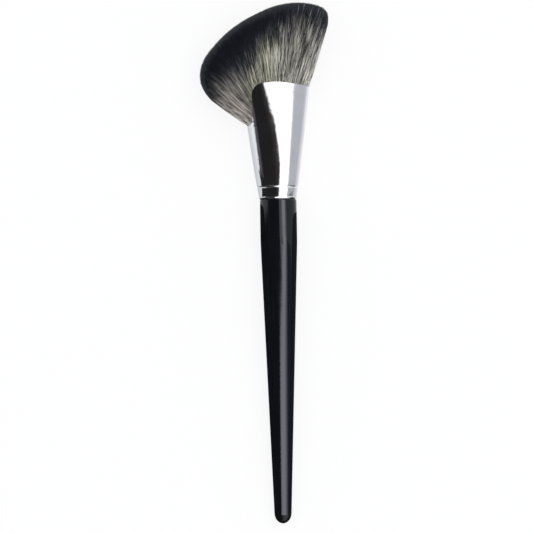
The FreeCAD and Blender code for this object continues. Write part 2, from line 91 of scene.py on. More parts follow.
def make_lip():
    """Evenly spaced points along the lip: place across (-1 to 1) and height."""
    bow_y = LIP_HEIGHT - LIP_BOW
    corner_x = NOTCH_X + LIP_CORNER
    corner_y = bow_y + math.sqrt((LIP_BOW - LIP_CORNER) ** 2 - (corner_x - LIP_APEX) ** 2)
    joint = math.degrees(math.atan2(corner_y - bow_y, corner_x - LIP_APEX))
    fillet_y = NOTCH_FLOOR + NOTCH_FILLET
    line = np.concatenate([
        arc(NOTCH_X - NOTCH_FILLET, fillet_y, NOTCH_FILLET, -90, 0, FILLET_STEPS),
        np.stack([np.full(EDGE_STEPS, NOTCH_X), np.linspace(fillet_y, corner_y, EDGE_STEPS)], 1),
        arc(corner_x, corner_y, LIP_CORNER, 180, joint, CORNER_STEPS),
        arc(LIP_APEX, bow_y, LIP_BOW, joint, BOW_END, BOW_STEPS),
    ])
    steps = np.hypot(*np.diff(line, axis=0).T)
    line = line[np.concatenate([[True], steps > SAME_POINT])]
    centre, width, _ = ferrule_section(line[:, 1], HAIR_ROOM)
    across = (line[:, 0] - centre) / width
    line = line[:np.argmax(across > 1) + 1]
    reach = np.concatenate([[0], np.cumsum(np.hypot(*np.diff(line, axis=0).T))])
    even = np.linspace(0, reach[-1], LIP_STEPS)
    x = np.interp(even, reach, line[:, 0])
    y = np.interp(even, reach, line[:, 1])
    centre, width, _ = ferrule_section(y, HAIR_ROOM)
    return np.clip((x - centre) / width, -1, 1), y


LIP_ACROSS, LIP_Y = make_lip()

# Fan of the hair: lean in degrees and length of the strands, by their share of the lip

STRAND_SHARE = (0.0, 0.06, 0.15, 0.28, 0.45, 0.65, 0.82, 0.93, 1.0)
STRAND_LEAN = (53.1, 55.0, 47.9, 34.9, 15.1, 1.6, -14.1, -19.9, -17.5)
STRAND_LENGTH = (14.3, 20.0, 24.1, 23.7, 23.0, 27.1, 29.4, 27.1, 22.5)
BELLY_DEPTH = 8.9
BELLY_SHARE = 0.55
SWELL_START, SWELL_POWER = 0.04, 1.4
SIDE_FULLNESS = 0.8


def spline(xs, ys, at):
    """Natural cubic spline through the points."""
    xs, ys = np.array(xs, float), np.array(ys, float)
    gaps, slopes = np.diff(xs), np.diff(ys) / np.diff(xs)
    count = len(xs)
    matrix, right = np.eye(count), np.zeros(count)
    for i in range(1, count - 1):
        matrix[i, i - 1:i + 2] = gaps[i - 1], 2 * (gaps[i - 1] + gaps[i]), gaps[i]
        right[i] = 6 * (slopes[i] - slopes[i - 1])
    bend = np.linalg.solve(matrix, right)
    i = np.clip(np.searchsorted(xs, at) - 1, 0, count - 2)
    t, gap = at - xs[i], gaps[i]
    slope = slopes[i] - gap * (2 * bend[i] + bend[i + 1]) / 6
    return ys[i] + slope * t + bend[i] * t ** 2 / 2 + (bend[i + 1] - bend[i]) * t ** 3 / (6 * gap)


def hair_point(share, level, out):
    """Point in the tuft: share of the lip, level from -1 to 1 through the depth, way out.

    The way out is 0 at the lip, 1 at the edge of the fan and negative inside the ferrule."""
    share, level, out = np.broadcast_arrays(share, level, out)
    place = np.clip(share, 0, 1) * (len(LIP_Y) - 1)
    index = np.arange(len(LIP_Y))
    across = np.interp(place, index, LIP_ACROSS)
    lip_y = np.interp(place, index, LIP_Y)
    lean = np.radians(spline(STRAND_SHARE, STRAND_LEAN, np.clip(share, 0, 1)))
    length = spline(STRAND_SHARE, STRAND_LENGTH, np.clip(share, 0, 1))
    beyond = np.clip(out, 0, None)
    inside = np.clip(-out, 0, 1)
    stem_across = across + (2 * share - 1 - across) * inside
    stem_y = lip_y + (HAIR_SEAT - lip_y) * inside
    centre, width, depth = ferrule_section(stem_y, HAIR_ROOM)
    lip_depth = depth * np.sqrt(np.clip(1 - stem_across ** 2, 0, 1))
    fullness = 2 * np.sqrt(np.clip(share * (1 - share), 0, 1))
    full_depth = BELLY_DEPTH * fullness ** SIDE_FULLNESS
    growth = np.clip((beyond - SWELL_START) / (BELLY_SHARE - SWELL_START), 0, 1)
    swell = np.sin(np.pi / 2 * growth) ** SWELL_POWER
    close = np.clip((beyond - BELLY_SHARE) / (1 - BELLY_SHARE), 0, 1)
    rounding = np.sqrt(np.clip(1 - close ** 2, 0, 1))
    z = level * (lip_depth + (full_depth - lip_depth) * swell) * rounding
    rise = LIP_CLEARANCE * np.clip(beyond / SWELL_START, 0, 1)
    spread = LIP_SPREAD * across * (1 - (1 - np.clip(beyond / SPREAD_SHARE, 0, 1)) ** 2)
    x = centre + width * stem_across + spread - np.sin(lean) * length * beyond
    y = stem_y + rise + np.cos(lean) * length * beyond
    return np.stack([x, y, z], -1)


def to_row(points):
    matrix = np.array(BRUSH_TO_ROW)
    return points @ matrix[:3, :3].T + matrix[:3, 3]


def make_mesh(name, points, faces, uvs):
    """Mesh from points in the brush frame, quads, and one UV for each vertex."""
    mesh = bpy.data.meshes.new(name)
    sides = faces.shape[1]
    mesh.vertices.add(len(points))
    mesh.vertices.foreach_set("co", to_row(points).astype(np.float32).ravel())
    mesh.loops.add(faces.size)
    mesh.loops.foreach_set("vertex_index", faces.astype(np.int32).ravel())
    mesh.polygons.add(len(faces))
    mesh.polygons.foreach_set("loop_start", np.arange(0, faces.size, sides, dtype=np.int32))
    mesh.polygons.foreach_set("use_smooth", np.ones(len(faces), bool))
    mesh.update(calc_edges=True)
    layer = mesh.uv_layers.new(name="OFBake")
    layer.data.foreach_set("uv", uvs[faces.ravel()].astype(np.float32).ravel())
    mesh.validate()
    piece = bpy.data.objects.new(name, mesh)
    scene.collection.objects.link(piece)
    return piece


def grid_quads(index):
    """Quads between the neighbours in a grid of vertex numbers."""
    return np.stack([index[:-1, :-1], index[1:, :-1], index[1:, 1:], index[:-1, 1:]], -1)


# Map of the hair: its left half holds the front of the tuft, and its right half the back

MAP_HALF = 0.5
MAP_LEFT, MAP_WIDTH = 0.005, 0.49
MAP_FOOT, MAP_HEIGHT = 0.02, 0.9
MAP_INSIDE = 0.06
HALF_TO_SHARE = 1.02


def hair_uv(share, out, back):
    u = MAP_LEFT + MAP_WIDTH * np.clip(share, 0, 1) + MAP_HALF * back
    v = MAP_FOOT + MAP_HEIGHT * np.clip(out + MAP_INSIDE, 0, 1 + MAP_INSIDE)
    return np.stack(np.broadcast_arrays(u, v), -1)


# Core of the tuft, just under its strands

CORE_LEVEL = 0.955
CORE_REACH = 0.985
CORE_COLUMNS, CORE_ROWS = 220, 46
CORE_SIDES = (0.003, 0.997)
CORE_ROOTS = (-0.1, -0.03)


def make_core():
    share = np.linspace(*CORE_SIDES, CORE_COLUMNS)
    beyond = np.sin(np.linspace(0, np.pi / 2, CORE_ROWS - len(CORE_ROOTS)))
    rows = np.concatenate([CORE_ROOTS, beyond])
    share_grid, out_grid = np.meshgrid(share, rows, indexing="ij")
    points, uvs, faces = [], [], []
    for back in (0, 1):
        level = -CORE_LEVEL if back else CORE_LEVEL
        grid = hair_point(share_grid, level, out_grid * CORE_REACH)
        index = np.arange(share_grid.size).reshape(share_grid.shape)
        quads = grid_quads(back * share_grid.size + index)
        if back:
            quads = quads[..., ::-1]
        points.append(grid.reshape(-1, 3))
        uvs.append(hair_uv(share_grid, out_grid * CORE_REACH, back).reshape(-1, 2))
        faces.append(quads.reshape(-1, 4))
    return make_mesh("tuft_core", np.concatenate(points), np.concatenate(faces), np.concatenate(uvs))


# Single strands: how far they stray along the lip and in depth, how they taper, and their tones

STRAY_ALONG, STRAY_LIFT = 0.02, 0.02
DRIFT_POWER = 1.5
WAVE_HEIGHT = 0.4
WAVE_TURNS, WAVE_START = (3, 9), (0, 6)
TOP_LEVEL = 1.08
OVERSHOOT_LENGTH = 24
TAPER_PLACES, TAPER_THICKNESS = (0, 0.55, 1), (1, 0.85, 0.16)
CORNER_ANGLES = np.radians([90, 210, 330])
CORNER_TONE = 0.0011
TONE_JITTER = 0.002
SHORTEST = 1e-9


def unit(vectors):
    return vectors / np.maximum(np.linalg.norm(vectors, axis=-1, keepdims=True), SHORTEST)


def make_strands(name, share, level, start, end, radius, steps, stray, jitter=TONE_JITTER):
    """Three-sided tapering strands, each from its start to its end on the way out."""
    count = len(share)
    along = np.linspace(0, 1, steps)[None, :]
    out = start[:, None] + (end - start)[:, None] * along
    drift = stray[:, None] * rng.normal(0, 1, (count, 1)) * along ** DRIFT_POWER
    turns = rng.uniform(*WAVE_TURNS, (count, 1))
    begin = rng.uniform(*WAVE_START, (count, 1))
    wave = stray[:, None] * WAVE_HEIGHT * np.sin(along * turns + begin)
    shares = np.clip(share[:, None] + (drift + wave) * STRAY_ALONG, 0, 1)
    levels = level[:, None] * (1 + STRAY_LIFT * stray[:, None] * along)
    path = hair_point(shares, np.clip(levels, -TOP_LEVEL, TOP_LEVEL), np.minimum(out, 1))
    overshoot = np.clip(out - 1, 0, None)[..., None]
    path = path + overshoot * OVERSHOOT_LENGTH * unit(path[:, -1:] - path[:, :1])
    run = unit(np.gradient(path, axis=1))
    up = np.zeros_like(run)
    up[..., 2] = np.where(level < 0, -1, 1)[:, None]
    side = unit(np.cross(run, up))
    up = np.cross(side, run)
    thick = radius[:, None] * np.interp(along, TAPER_PLACES, TAPER_THICKNESS)
    ring_points, ring_uvs = [], []
    tone_shift = rng.normal(0, jitter, (count, 1))
    back = (level < 0).astype(float)[:, None]
    for corner, turn in enumerate(CORNER_ANGLES):
        offset = side * math.cos(turn) + up * math.sin(turn)
        ring_points.append(path + offset * thick[..., None])
        nudge = (corner - 1) * CORNER_TONE
        ring_uvs.append(hair_uv(share[:, None] + tone_shift + nudge, out, back))
    points = np.stack(ring_points, 2).reshape(-1, 3)
    uvs = np.stack(ring_uvs, 2).reshape(-1, 2)
    corners = len(CORNER_ANGLES)
    index = np.arange(count * steps * corners).reshape(count, steps, corners)
    low, high = index[:, :-1], index[:, 1:]
    low_next, high_next = np.roll(low, -1, 2), np.roll(high, -1, 2)
    faces = np.stack([low, low_next, high_next, high], -1).reshape(-1, 4)
    return make_mesh(name, points, faces, uvs)


# Each kind of strand draws its level, its start and end on the way out, its radius in mm and
# how far it strays. The sign is 1 for the upper face and -1 for the lower one.

FACE_STRANDS, FACE_STEPS = 2600, 10
GUARD_STRANDS, GUARD_STEPS = 320, 9
TIP_STRANDS, TIP_STEPS = 7000, 5
GUARD_JITTER = 0.012
STRAND_SIDES = (0.001, 0.999)
CLUMPS = 64
CLUMP_SHIFT, CLUMP_PULL = 0.15, 0.45


def clumped(count):
    """Shares of the lip for a number of strands, gathered into clumps."""
    share = rng.uniform(0.002, 0.998, count)
    shift_by = rng.uniform(-CLUMP_SHIFT, CLUMP_SHIFT, count)
    centre = (np.floor(share * CLUMPS) + 0.5 + shift_by) / CLUMPS
    return np.clip(share + (centre - share) * rng.uniform(0, CLUMP_PULL, count), *STRAND_SIDES)


def make_face_strands(name, sign):
    """Long strands that cover a face of the tuft."""
    share = clumped(FACE_STRANDS)
    level = sign * rng.uniform(0.95, 1.0, FACE_STRANDS)
    start = rng.uniform(-0.08, -0.02, FACE_STRANDS)
    end = 1 - 0.3 * rng.beta(1.1, 2.2, FACE_STRANDS)
    radius = rng.uniform(0.06, 0.11, FACE_STRANDS)
    stray = rng.gamma(2.0, 0.2, FACE_STRANDS)
    return make_strands(name, share, level, start, end, radius, FACE_STEPS, stray)


def make_guard_strands(name, sign):
    """Thick strands that lie on top and stand out one by one."""
    share = rng.uniform(0.004, 0.996, GUARD_STRANDS)
    level = sign * rng.uniform(0.99, 1.01, GUARD_STRANDS)
    start = rng.uniform(-0.06, 0.1, GUARD_STRANDS)
    end = rng.uniform(0.55, 1.0, GUARD_STRANDS)
    radius = rng.uniform(0.09, 0.15, GUARD_STRANDS)
    stray = rng.gamma(2.0, 0.3, GUARD_STRANDS)
    return make_strands(name, share, level, start, end, radius, GUARD_STEPS, stray, GUARD_JITTER)


def make_tip_strands(name, sign):
    """Short fine strands that fill the edge of the fan through its depth."""
    share = np.clip(rng.uniform(-0.002, 1.002, TIP_STRANDS), *STRAND_SIDES)
    level = sign * rng.uniform(0.0, 1.0, TIP_STRANDS)
    end = 1 - 0.28 * rng.uniform(0, 1, TIP_STRANDS) ** 2 + rng.uniform(-0.004, 0.006, TIP_STRANDS)
    start = end - rng.uniform(0.2, 0.34, TIP_STRANDS)
    radius = rng.uniform(0.04, 0.07, TIP_STRANDS)
    stray = rng.gamma(1.6, 0.22, TIP_STRANDS)
    return make_strands(name, share, level, start, end, radius, TIP_STEPS, stray)


hair_pieces = [
    make_core(),
    make_face_strands("face_strands_up", 1),
    make_face_strands("face_strands_down", -1),
    make_guard_strands("guard_strands_up", 1),
    make_guard_strands("guard_strands_down", -1),
    make_tip_strands("tip_strands_up", 1),
    make_tip_strands("tip_strands_down", -1),
]


# Materials

class Nodes:
    """Short hand for building the node tree of a material or a world."""

    def __init__(self, owner):
        owner.use_nodes = True
        self.owner = owner
        self.tree = owner.node_tree
        self.shader = next(n for n in self.tree.nodes if n.type in ("BSDF_PRINCIPLED", "BACKGROUND"))
        self.output = next(n for n in self.tree.nodes if n.type.startswith("OUTPUT_"))

    def add(self, kind, inputs=None, **settings):
        node = self.tree.nodes.new(kind)
        for key, value in settings.items():
            setattr(node, key, value)
        for key, value in (inputs or {}).items():
            self.put(node.inputs[key], value)
        return node

    def put(self, socket, value):
        if isinstance(value, bpy.types.NodeSocket):
            self.tree.links.new(value, socket)
        else:
            socket.default_value = value

    def math(self, operation, *values):
        return self.add("ShaderNodeMath", dict(enumerate(values)), operation=operation).outputs[0]

    def noise(self, vector, scale, detail=2.0, roughness=0.5):
        inputs = {"Vector": vector, "Scale": scale, "Detail": detail, "Roughness": roughness}
        return self.add("ShaderNodeTexNoise", inputs).outputs["Fac"]

    def stretch(self, vector, scales):
        inputs = {"Vector": vector, "Scale": scales}
        return self.add("ShaderNodeMapping", inputs).outputs["Vector"]

    def split(self, vector):
        return self.add("ShaderNodeSeparateXYZ", {"Vector": vector}).outputs

    def ramp(self, factor, stops, interpolation="LINEAR"):
        """Colours along a ramp, from pairs of place and colour or grey value."""
        node = self.add("ShaderNodeValToRGB", {"Fac": factor})
        ramp = node.color_ramp
        ramp.interpolation = interpolation
        ramp.elements[0].position = stops[0][0]
        ramp.elements[1].position = stops[-1][0]
        for place, _ in stops[1:-1]:
            ramp.elements.new(place)
        for element, (_, colour) in zip(ramp.elements, stops):
            value = (colour,) * 3 if isinstance(colour, (int, float)) else colour
            element.color = (*value, 1)
        return node.outputs["Color"]

    def mix(self, factor, first, second, blend="MIX"):
        node = self.add("ShaderNodeMix", data_type="RGBA", blend_type=blend)
        self.put(node.inputs[0], factor)
        for socket, value in ((node.inputs[6], first), (node.inputs[7], second)):
            self.put(socket, (*value, 1) if isinstance(value, tuple) and len(value) == 3 else value)
        return node.outputs[2]

    def bump(self, height, strength, distance):
        inputs = {"Height": height, "Strength": strength, "Distance": distance}
        return self.add("ShaderNodeBump", inputs).outputs["Normal"]

    def set(self, **inputs):
        for key, value in inputs.items():
            self.put(self.shader.inputs[key.replace("_", " ")], value)

    def show(self, node):
        """Make a node's first output the surface."""
        self.tree.links.new(node.outputs[0], self.output.inputs["Surface"])


def new_material(name):
    return Nodes(bpy.data.materials.new(name))


def srgb(*values):
    """Linear colour from values of 0 to 255."""
    parts = [v / 255 for v in values]
    return tuple(p / 12.92 if p <= 0.04045 else ((p + 0.055) / 1.055) ** 2.4 for p in parts)


# Way out at which the hair turns black, from the long side of the fan to the short side
BLACK_LINE = (
    (0.0, 0.86), (0.085, 0.75), (0.14, 0.66), (0.205, 0.60), (0.263, 0.51), (0.3, 0.45),
    (0.35, 0.37), (0.4, 0.34), (0.45, 0.37), (0.5, 0.42), (0.56, 0.51), (0.62, 0.56),
    (0.68, 0.66), (0.75, 0.73), (0.8, 0.79), (0.86, 0.78), (0.93, 0.75), (1.0, 0.78),
)
# How far the tone of a streak moves that line, and the ramp from streaked to black around it
MIDDLE_TONE, RAGGED = 0.5, 0.9
BLACK_START, BLACK_END = 0.16, 0.59

# Lightness of the hair against its mean, and its tint, from the long side to the short side
# The lightness is partly the hair's own tone and partly painted shade; the dip near 0.37 is painted
# shade under a clump.
HAIR_LIGHTNESS_AND_SHADE = (
    (0.0, 1.18), (0.06, 1.0), (0.12, 0.9), (0.2, 0.86), (0.3, 0.82), (0.37, 0.7), (0.43, 0.98),
    (0.52, 0.89), (0.62, 0.95), (0.7, 1.0), (0.78, 0.9), (0.87, 0.97), (0.94, 0.97), (1.0, 1.12),
)
LIGHT_GAMMA, LIGHT_TOP = 2.2, 1.8
HAIR_TINT = (
    (0.0, (1.0, 0.93, 0.90)), (0.3, (1.0, 0.95, 0.86)), (0.45, (1.0, 0.99, 0.83)),
    (0.62, (1.0, 0.99, 0.83)), (0.72, (1.0, 0.98, 0.93)), (1.0, (1.0, 0.98, 0.95)),
)

# Locks of hair across the map: how many, how strong and where they start
HAIR_LOCKS = ((56, 0.045, 0.0), (94, 0.06, 2.0), (160, 0.12, 4.0))
# How many locks share one wander of the noise, its number along the hair, and its reach
LOCK_GROUP, LOCK_WANDERS, WANDER_REACH = 2.5, 1.3, 22.0
# Fine streaks across and along the map, their strength and the tone without them
FINE_ACROSS, FINE_ALONG, FINE_STRENGTH, FINE_BASE = 430, 2.4, 0.3, 0.345
STREAK_TONES = (
    (0.36, srgb(36, 34, 31)),
    (0.43, srgb(88, 86, 80)),
    (0.50, srgb(144, 143, 136)),
    (0.56, srgb(190, 189, 182)),
    (0.64, srgb(232, 231, 226)),
)
TIP_TONES = ((0.35, srgb(19, 22, 31)), (0.65, srgb(35, 41, 53)))


def hair_material():
    n = new_material("hair")
    uv = n.add("ShaderNodeUVMap", uv_map="OFBake").outputs["UV"]
    place = n.split(uv)
    u, v = place["X"], place["Y"]
    half = n.math("FRACT", n.math("MULTIPLY", u, 1 / MAP_HALF))
    share = n.math("MULTIPLY", half, HALF_TO_SHARE)
    raised = n.math("DIVIDE", n.math("SUBTRACT", v, MAP_FOOT), MAP_HEIGHT)
    out = n.math("SUBTRACT", raised, MAP_INSIDE)
    fine = n.noise(n.stretch(uv, (FINE_ACROSS, FINE_ALONG, 1)), 1.0, 1.0)
    tone = n.math("MULTIPLY_ADD", fine, FINE_STRENGTH, FINE_BASE)
    for locks, strength, turn in HAIR_LOCKS:
        wander = n.noise(n.stretch(uv, (locks / LOCK_GROUP, LOCK_WANDERS, 1)), 1.0, 0.0)
        phase = n.math("MULTIPLY_ADD", wander, WANDER_REACH, turn)
        phase = n.math("MULTIPLY_ADD", u, 2 * math.pi * locks, phase)
        tone = n.math("MULTIPLY_ADD", n.math("SINE", phase), strength, tone)
    # Lightness along the lip: the hair's own tone with painted shade in it, multiplied into the
    # tint.
    lightness_and_shade = n.ramp(share, tuple((at, value ** LIGHT_GAMMA / LIGHT_TOP) for at, value in HAIR_LIGHTNESS_AND_SHADE))
    lightness_and_shade = n.mix(1.0, lightness_and_shade, (LIGHT_TOP,) * 3, "MULTIPLY")
    tint = n.mix(1.0, n.ramp(share, HAIR_TINT), lightness_and_shade, "MULTIPLY")
    streaked = n.mix(1.0, n.ramp(tone, STREAK_TONES), tint, "MULTIPLY")
    ragged = n.math("MULTIPLY", n.math("SUBTRACT", tone, MIDDLE_TONE), RAGGED)
    depth = n.math("SUBTRACT", n.math("SUBTRACT", out, n.ramp(share, BLACK_LINE)), ragged)
    black = n.ramp(n.math("ADD", depth, 0.5), ((BLACK_START, 0.0), (BLACK_END, 1.0)), "EASE")
    n.set(
        Base_Color=n.mix(black, streaked, n.ramp(fine, TIP_TONES)),
        Roughness=0.6,
        Specular_IOR_Level=0.2,
    )
    return n.owner


def lacquer_material():
    n = new_material("black_lacquer")
    place = n.add("ShaderNodeTexCoord").outputs["Object"]
    grain = n.noise(n.stretch(place, (900, 60, 900)), 1.0, 4.0)
    peel = n.noise(place, 900.0, 2.0)
    haze = n.noise(place, 120.0, 3.0)
    n.set(
        Base_Color=n.ramp(grain, ((0.3, (0.0035, 0.0042, 0.006)), (0.7, (0.0055, 0.0065, 0.009)))),
        Roughness=n.ramp(haze, ((0.3, 0.07), (0.7, 0.11))),
        Normal=n.bump(peel, 0.04, 0.0002),
        IOR=1.47,
    )
    return n.owner


def ferrule_material():
    n = new_material("polished_metal")
    place = n.add("ShaderNodeTexCoord").outputs["Object"]
    drawn = n.noise(n.stretch(place, (5200, 60, 5200)), 1.0, 3.0)
    haze = n.noise(place, 160.0, 3.0)
    n.set(
        Base_Color=n.ramp(haze, ((0.3, (0.83, 0.83, 0.86)), (0.7, (0.88, 0.88, 0.90)))),
        Metallic=1.0,
        Roughness=n.ramp(haze, ((0.3, 0.05), (0.7, 0.075))),
        Normal=n.bump(drawn, 0.05, 0.00004),
    )
    return n.owner


def epoxy_material():
    n = new_material("epoxy")
    place = n.add("ShaderNodeTexCoord").outputs["Object"]
    cloud = n.noise(place, 350.0, 4.0)
    n.set(
        Base_Color=n.ramp(cloud, ((0.3, srgb(190, 150, 90)), (0.7, srgb(215, 182, 122)))),
        Roughness=n.ramp(cloud, ((0.3, 0.2), (0.7, 0.4))),
    )
    return n.owner


def give(piece, material):
    piece.data.materials.clear()
    piece.data.materials.append(material)


hair = hair_material()
for piece in hair_pieces:
    give(piece, hair)
    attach(piece, "root")
    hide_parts("bristle_tuft")
give(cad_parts["handle"], lacquer_material())
give(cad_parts["ferrule"], ferrule_material())
give(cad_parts["glue_plug"], epoxy_material())


# Studio: pale floor, a soft lamp, and the panels that the polished parts mirror

SHADOW_FILL = 0.85
FLOOR_HALF = 6000
PANEL_REACH = 600.0
WALL_REACH = 150.0
PANEL_ROWS = 60
PANEL_TURN = 6.0
PART_TOP = 10.5
MIRROR_X, MIRROR_HALF = 5, 6


def stage_mesh(name, corners, faces, material):
    """Mesh of the studio from corners in mm."""
    mesh = bpy.data.meshes.new(name)
    mesh.from_pydata([tuple(v * MM for v in corner) for corner in corners], [], faces)
    mesh.update()
    mesh.materials.append(material)
    item = bpy.data.objects.new(name, mesh)
    scene.collection.objects.link(item)
    return item


def floor_material():
    """White paper: the eye and the mirrors see most of its shadows filled."""
    n = new_material("floor")
    place = n.add("ShaderNodeTexCoord").outputs["Object"]
    cloud = n.noise(place, 6.0, 3.0)
    path = n.add("ShaderNodeLightPath").outputs
    seen = n.math("MAXIMUM", path["Is Camera Ray"], path["Is Glossy Ray"])
    seen = n.math("MAXIMUM", seen, path["Is Transmission Ray"])
    paper = n.ramp(cloud, ((0.3, 0.93), (0.7, 0.95)))
    n.set(Base_Color=n.mix(seen, paper, (1.0, 1.0, 1.0)), Roughness=0.9, Specular_IOR_Level=0.0)
    glow = n.add("ShaderNodeEmission", {"Color": (1.0, 1.0, 1.0, 1.0), "Strength": 1.0})
    fill = n.math("MULTIPLY", seen, SHADOW_FILL)
    n.show(n.add("ShaderNodeMixShader", {0: fill, 1: n.shader.outputs[0], 2: glow.outputs[0]}))
    return n.owner


def glow_material(name, tones):
    """Light that changes across a panel, from its first edge to its second."""
    n = new_material(name)
    uv = n.add("ShaderNodeUVMap", uv_map="Across").outputs["UV"]
    top = max(max(tone) for _, tone in tones)
    colours = tuple((place, tuple(v / top for v in tone)) for place, tone in tones)
    glow = n.ramp(n.split(uv)["X"], colours)
    n.show(n.add("ShaderNodeEmission", {"Color": glow, "Strength": top}))
    n.tree.nodes.remove(n.shader)
    return n.owner


def toward(y, across, along, reach):
    """Place that the brush mirrors at y, by angles from the vertical in degrees and its reach."""
    a, b = math.radians(across), math.radians(along)
    way = Vector((math.sin(a) * math.cos(b), math.sin(b), math.cos(a) * math.cos(b)))
    return Vector((MIRROR_X + MIRROR_HALF * math.sin(a / 2), y, PART_TOP)) + way * reach


def glow_grid(name, columns, tones):
    """Panel seen only in mirrors, drawn by columns of points; its tones run across them."""
    columns = np.array(columns, float)
    count, rows = columns.shape[:2]
    faces = grid_quads(np.arange(count * rows).reshape(count, rows)).reshape(-1, 4)
    material = glow_material(name, tones)
    item = stage_mesh(name, columns.reshape(-1, 3).tolist(), faces.tolist(), material)
    item.visible_camera = False
    item.visible_diffuse = False
    item.visible_shadow = False
    item.visible_transmission = False
    layer = item.data.uv_layers.new(name="Across")
    for loop in item.data.loops:
        layer.data[loop.index].uv = ((loop.vertex_index // rows) / (count - 1), 0.5)


def even_rows(table, low, high):
    """Values of a table of (y, ...) at even rows between two y."""
    columns = list(zip(*sorted(table)))
    at = np.linspace(low, high, PANEL_ROWS)
    return at, [np.interp(at, columns[0], values) for values in columns[1:]]


def far_panel(name, span, reach, first, second, tones):
    """Panel at a reach from the brush between two edges, given as tables of (y, across, along)."""
    at, (across_0, along_0) = even_rows(first, *span)
    _, (across_1, along_1) = even_rows(second, *span)
    turn = np.max(np.abs(across_1 - across_0))
    columns = []
    for part in np.linspace(0, 1, 2 + int(turn / PANEL_TURN)):
        across = across_0 + (across_1 - across_0) * part
        along = along_0 + (along_1 - along_0) * part
        columns.append([toward(y, a, b, reach) for y, a, b in zip(at, across, along)])
    glow_grid(name, columns, tones)


def floor_card(name, span, height, edges, tones):
    """Card that lies on the floor, its edges given as tables of (y, x)."""
    at = np.linspace(*span, PANEL_ROWS)
    level = np.full(PANEL_ROWS, height)
    glow_grid(name, [np.stack([np.interp(at, *zip(*edge)), at, level], -1) for edge in edges], tones)


def shift(edge, degrees):
    return [(y, across + degrees, along) for y, across, along in edge]


def straight(x):
    """Edge on the floor that runs along the brush."""
    return ((0, x), (1, x))


def grey(value, tint=(1, 1, 1)):
    return tuple(value * t for t in tint)


def tinted(tint, *stops):
    """Stops of one tint, from pairs of place and strength."""
    return tuple((place, grey(value, tint)) for place, value in stops)


def plain(tone):
    return ((0, tone), (1, tone))


COOL = (0.97, 0.99, 1.02)
VIOLET = (0.97, 0.96, 1.1)
NEUTRAL = (1, 1, 1)
DARK = grey(0.014, (1, 0.98, 1.04))
STREAK = grey(0.085, (1, 0.92, 1.06))
WARM = grey(0.028, (1.15, 0.95, 0.9))
CARD = grey(0.51, (0.96, 1.0, 1.05))
PALE_CARD = grey(0.69, (0.96, 0.99, 1.06))
PAPER = grey(1.1)
HANDLE_DARK = grey(0.017, (1, 1, 1.05))
HANDLE_CARD = grey(0.13)
HANDLE_SIDE = grey(0.06)

stage_mesh(
    "floor",
    [(x * FLOOR_HALF, y * FLOOR_HALF, 0) for x, y in ((-1, -1), (1, -1), (1, 1), (-1, 1))],
    [(0, 1, 2, 3)],
    floor_material(),
)

# What the ferrule mirrors, from left to right: pale wall, flag, softbox, grey card, pale wall.
# An edge is a table of rows: y in mm, then the angle across and the angle along in degrees.
FERRULE_SPAN = (21.5, 76)
FERRULE_REACH = 0.96 * PANEL_REACH
FADE_WIDTH = 36
WALL_EDGE = ((76, -110, 4), (21, -110, -5))
DARK_EDGE = (
    (76, -50, 5.5), (51.8, -66.2, 1.4), (41, -74.9, -0.3), (33.9, -83.2, -1.6), (27, -93.5, -3.2),
    (21, -112, -6),
)
LIGHT_EDGE = (
    (76, -24, 12.8), (63, -17.3, 10.7), (57.2, -13.6, 10), (54.3, -11.3, 9.6), (52.1, -8.2, 9.3),
    (50, -4.8, 8.9), (42.1, 2.3, 7.0), (36.4, 8.0, 5.5), (33.6, 10.1, 4.8), (30.7, 10.0, 4.1),
    (26, 7.7, 3), (21, 2.0, 2.0),
)
CARD_EDGE = (
    (76, 21, 10.5), (62.7, 28.8, 8.8), (50.7, 37, 5.9), (37.9, 45.2, 3.0), (25.1, 54.2, 0.2),
    (21, 57.5, -0.8),
)
FADE_EDGE = (
    (76, 44, 6), (60.8, 64.5, 2.4), (51.6, 82.2, 0.4), (41.6, 91.8, -0.6), (31.6, 97.3, -1.4),
    (21, 108, -3),
)

for name, first, second, tones in (
    ("ferrule_wall", WALL_EDGE, DARK_EDGE, tinted(COOL, (0, 0.84), (1, 0.95))),
    ("ferrule_flag", DARK_EDGE, LIGHT_EDGE, (
        (0, DARK), (0.03, DARK), (0.07, STREAK), (0.17, STREAK), (0.23, DARK), (0.8, DARK),
        (0.92, WARM), (1, WARM),
    )),
    ("ferrule_light", LIGHT_EDGE, CARD_EDGE, tinted(
        NEUTRAL, (0, 1.25), (0.25, 1.25), (0.36, 4.4), (0.68, 4.4), (0.84, 1.3), (1, 1.3),
    )),
    ("ferrule_card", CARD_EDGE, FADE_EDGE, plain(CARD)),
    ("ferrule_fade", FADE_EDGE, shift(FADE_EDGE, FADE_WIDTH), (
        (0, CARD), (0.35, PALE_CARD), (1, grey(0.98)),
    )),
):
    far_panel(name, FERRULE_SPAN, FERRULE_REACH, first, second, tones)

# What the handle mirrors: darkness all round, and a softbox with one sharp edge
HANDLE_SPAN = (-94, 21.5)
HANDLE_BREAK = 4.4
FLAG_WIDTH, HANDLE_WALL_WIDTH, HANDLE_CARD_WIDTH = 70, 30, 45
HANDLE_LIGHT = (
    (22, 1.2, 2.0), (13.7, 6, 1.9), (9.1, 7.6, 1.8), (5.2, 7, -2.4), (0.3, 15, -2.5),
    (-6.8, 20, -2.65), (-13.8, 10, -2.8), (-21, 1.5, -2.95), (-31.5, -3.5, -3.15),
    (-49.1, -9, -3.45), (-84.4, -18.5, -4), (-94, -24, -20),
)
HANDLE_FADE = (
    (22, 60, 2.8), (9.1, 60, 2.6), (5.2, 60, -1.0), (-13.8, 63.3, -1.1), (-49.1, 69.4, -1.5),
    (-84.4, 85.9, -2), (-94, 92, -20),
)
FLAG_EDGE = shift(HANDLE_LIGHT, -FLAG_WIDTH)

